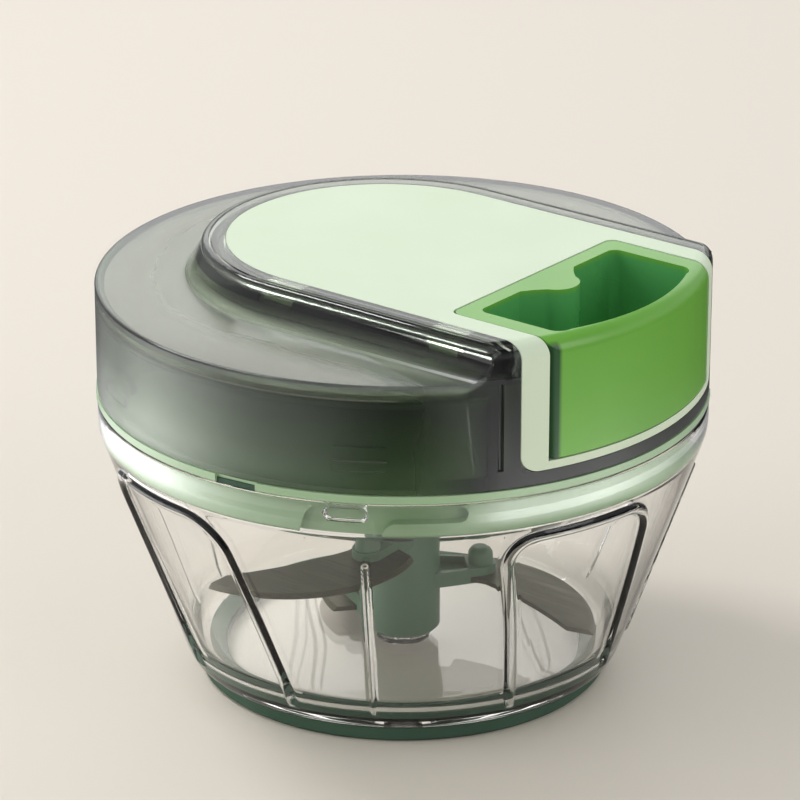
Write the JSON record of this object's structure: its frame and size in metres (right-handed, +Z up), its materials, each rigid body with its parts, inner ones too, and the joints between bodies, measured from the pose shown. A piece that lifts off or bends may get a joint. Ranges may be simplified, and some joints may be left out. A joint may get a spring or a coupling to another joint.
{
  "type": "pull-string food chopper",
  "caption": "Hand food chopper: clear tapered bowl with blades on a hub, and a smoke-tinted lid whose flush handle pulls a cord that spins them; bayonet lock.",
  "frame": {"origin": "centre of the foot ring, on the surface that the bowl stands on", "axes": "+Z up along the drive axis, +X the way the handle pulls out, +Y to the left of someone who pulls it"},
  "size_m": [0.1254, 0.1254, 0.0917],
  "materials": {
    "clear_plastic": "transparent, clear",
    "smoke_plastic": "transparent, smoke tinted",
    "pale_green": "glossy",
    "leaf_green": "glossy",
    "sage_green": "satin gloss",
    "dark_green": "matt",
    "hub_green": "satin",
    "silicone": "matt",
    "blade_steel": "brushed",
    "pin_steel": "polished",
    "spring_steel": "blued strip",
    "screw_steel": "plated",
    "bearing_plastic": "natural acetal",
    "cord_nylon": "braided nylon"
  },
  "bodies": {
    "bowl": {"bowl": "clear_plastic", "anti_slip_ring": "silicone", "centre_pin": "pin_steel"},
    "seal": {"lid_seal": "silicone"},
    "drive_unit": {"lower_housing": "sage_green", "inner_deck": "dark_green", "smoke_cover": "smoke_plastic", "frame_gasket": "dark_green", "top_plate": "pale_green", "drum_housing": "dark_green", "spring_cap": "dark_green", "clock_spring": "spring_steel", "lower_bush": "bearing_plastic", "upper_bush": "bearing_plastic", "cord_eyelet": "bearing_plastic", "housing_screws": "screw_steel"},
    "handle": {"pull_handle": "leaf_green", "handle_knot": "cord_nylon", "cord_lead": "cord_nylon"},
    "drum": {"cord_drum": "bearing_plastic", "cord_winding": "cord_nylon", "drum_knot": "cord_nylon"},
    "blade_assembly": {"drive_shaft": "bearing_plastic", "clutch_disc": "bearing_plastic", "thrust_washer": "pin_steel", "shaft_clip": "spring_steel", "blade_hub": "hub_green", "blade_pegs": "hub_green", "upper_blade": "blade_steel", "middle_blade": "blade_steel", "lower_blade": "blade_steel"}
  },
  "joints": [
    {"name": "lid_lift", "type": "slide", "parent": "bowl", "child": "seal", "axis": [0, 0, 1], "range_m": [0, 0.08]},
    {"name": "lid_turn", "type": "hinge", "parent": "seal", "child": "drive_unit", "pos_m": [0, 0, 0.06], "axis": [0, 0, 1], "range_deg": [-18.4, 0]},
    {"name": "handle_pull", "type": "slide", "parent": "drive_unit", "child": "handle", "axis": [1, 0, 0], "range_m": [0, 0.35], "stiffness_N_per_m": 12, "springref_m": -0.15, "deforming": ["cord_lead"]},
    {"name": "drum_spin", "type": "hinge", "parent": "drive_unit", "child": "drum", "pos_m": [0, 0, 0.0732], "axis": [0, 0, 1], "range_deg": [0, 1351.4], "deforming": ["clock_spring"]},
    {"name": "blade_spin", "type": "hinge", "parent": "drive_unit", "child": "blade_assembly", "pos_m": [0, 0, 0.0285], "axis": [0, 0, 1], "continuous": true}
  ],
  "couplings": [
    {"joint": "drum_spin", "follows": "handle_pull", "rad_per_m": 67.34},
    {"joint": "blade_spin", "follows": "handle_pull", "rad_per_m": 67.34}
  ]
}
